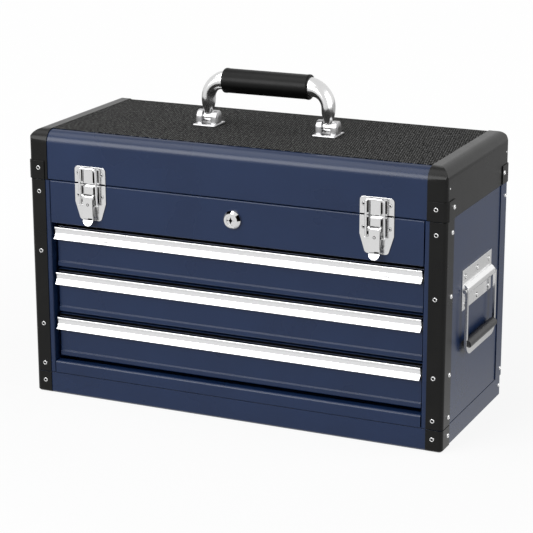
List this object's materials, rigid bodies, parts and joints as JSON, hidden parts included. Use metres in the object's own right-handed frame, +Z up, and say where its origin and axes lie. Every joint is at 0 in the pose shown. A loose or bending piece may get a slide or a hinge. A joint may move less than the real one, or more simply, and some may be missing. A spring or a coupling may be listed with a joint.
{
  "type": "portable tool box with drawers",
  "caption": "Portable steel tool box with a hinged lid over a top compartment, full-width drawers, draw latches, a key lock, a top carry handle and drop handles on its sides.",
  "frame": {"origin": "middle of the box's bottom face", "axes": "+X to the box's right as seen from its front, +Y to the back where the lid is hinged, +Z up; the front looks along -Y"},
  "size_m": [0.5414, 0.2304, 0.3941],
  "materials": {
    "blue_paint": "glossy powder coat",
    "black_trim": "semi-gloss paint",
    "bright_plating": "bright plated",
    "satin_aluminium": "satin anodised",
    "plain_steel": "zinc plated",
    "ribbed_mat": "fine ribbed texture",
    "grip_black": "smooth satin"
  },
  "bodies": {
    "case": {"base_pan": "blue_paint", "base_corner_caps": "black_trim", "case_floor": "blue_paint", "compartment_floor": "blue_paint", "side_panel_right": "blue_paint", "side_panel_left": "blue_paint", "back_panel": "blue_paint", "inner_walls": "blue_paint", "front_stiles": "blue_paint", "front_panel": "blue_paint", "bottom_rail": "blue_paint", "corner_trim_right": "black_trim", "corner_trim_left": "black_trim", "drawer_runners": "plain_steel", "lock_barrel": "bright_plating", "latch_base_right": "bright_plating", "latch_base_left": "bright_plating", "side_handle_plate_right": "bright_plating", "side_handle_plate_left": "bright_plating", "hinge_case_leaves": "plain_steel"},
    "lid": {"lid_shell": "blue_paint", "lid_cap_right": "black_trim", "lid_cap_left": "black_trim", "lid_corner_brackets": "black_trim", "lid_mat": "ribbed_mat", "lid_strike": "plain_steel", "handle_brackets": "bright_plating", "latch_keeper_right": "bright_plating", "latch_keeper_left": "bright_plating", "hinge_lid_leaves": "plain_steel"},
    "carry_handle": {"handle_tube": "bright_plating", "handle_grip": "grip_black"},
    "lock": {"lock_plug": "bright_plating", "lock_cam": "plain_steel"},
    "drawer_1": {"drawer_1_box": "blue_paint", "drawer_1_pull": "satin_aluminium", "drawer_1_slides": "plain_steel"},
    "drawer_2": {"drawer_2_box": "blue_paint", "drawer_2_pull": "satin_aluminium", "drawer_2_slides": "plain_steel"},
    "drawer_3": {"drawer_3_box": "blue_paint", "drawer_3_pull": "satin_aluminium", "drawer_3_slides": "plain_steel"},
    "latch_lever_right": {"latch_lever_right": "bright_plating"},
    "latch_bail_right": {"latch_bail_right": "bright_plating"},
    "side_handle_right": {"side_handle_bail_right": "bright_plating", "side_handle_grip_right": "grip_black"},
    "latch_lever_left": {"latch_lever_left": "bright_plating"},
    "latch_bail_left": {"latch_bail_left": "bright_plating"},
    "side_handle_left": {"side_handle_bail_left": "bright_plating", "side_handle_grip_left": "grip_black"}
  },
  "joints": [
    {"name": "lid_hinge", "type": "hinge", "parent": "case", "child": "lid", "pos_m": [0, 0.1107, 0.2655], "axis": [-1, 0, 0], "range_deg": [0, 100]},
    {"name": "carry_handle_hinge", "type": "hinge", "parent": "lid", "child": "carry_handle", "pos_m": [0, 0, 0.3347], "axis": [1, 0, 0], "range_deg": [-82, 82]},
    {"name": "lock_turn", "type": "hinge", "parent": "case", "child": "lock", "pos_m": [0.004, -0.1, 0.2423], "axis": [0, 1, 0], "range_deg": [0, 90]},
    {"name": "drawer_1_slide", "type": "slide", "parent": "case", "child": "drawer_1", "axis": [0, -1, 0], "range_m": [0, 0.16]},
    {"name": "drawer_2_slide", "type": "slide", "parent": "case", "child": "drawer_2", "axis": [0, -1, 0], "range_m": [0, 0.16]},
    {"name": "drawer_3_slide", "type": "slide", "parent": "case", "child": "drawer_3", "axis": [0, -1, 0], "range_m": [0, 0.16]},
    {"name": "latch_lever_right_hinge", "type": "hinge", "parent": "case", "child": "latch_lever_right", "pos_m": [0.179, -0.1115, 0.2515], "axis": [-1, 0, 0], "range_deg": [0, 100]},
    {"name": "latch_bail_right_hinge", "type": "hinge", "parent": "latch_lever_right", "child": "latch_bail_right", "pos_m": [0.179, -0.1115, 0.2416], "axis": [-1, 0, 0], "range_deg": [-120, 0]},
    {"name": "side_handle_right_hinge", "type": "hinge", "parent": "case", "child": "side_handle_right", "pos_m": [0.2631, 0.001, 0.173], "axis": [0, -1, 0], "range_deg": [0, 90]},
    {"name": "latch_lever_left_hinge", "type": "hinge", "parent": "case", "child": "latch_lever_left", "pos_m": [-0.179, -0.1115, 0.2515], "axis": [-1, 0, 0], "range_deg": [0, 100]},
    {"name": "latch_bail_left_hinge", "type": "hinge", "parent": "latch_lever_left", "child": "latch_bail_left", "pos_m": [-0.179, -0.1115, 0.2416], "axis": [-1, 0, 0], "range_deg": [-120, 0]},
    {"name": "side_handle_left_hinge", "type": "hinge", "parent": "case", "child": "side_handle_left", "pos_m": [-0.2631, 0.001, 0.173], "axis": [0, 1, 0], "range_deg": [0, 90]}
  ],
  "couplings": [
    {"joint": "latch_bail_right_hinge", "follows": "latch_lever_right_hinge", "ratio": -1.2},
    {"joint": "latch_bail_left_hinge", "follows": "latch_lever_left_hinge", "ratio": -1.2}
  ]
}
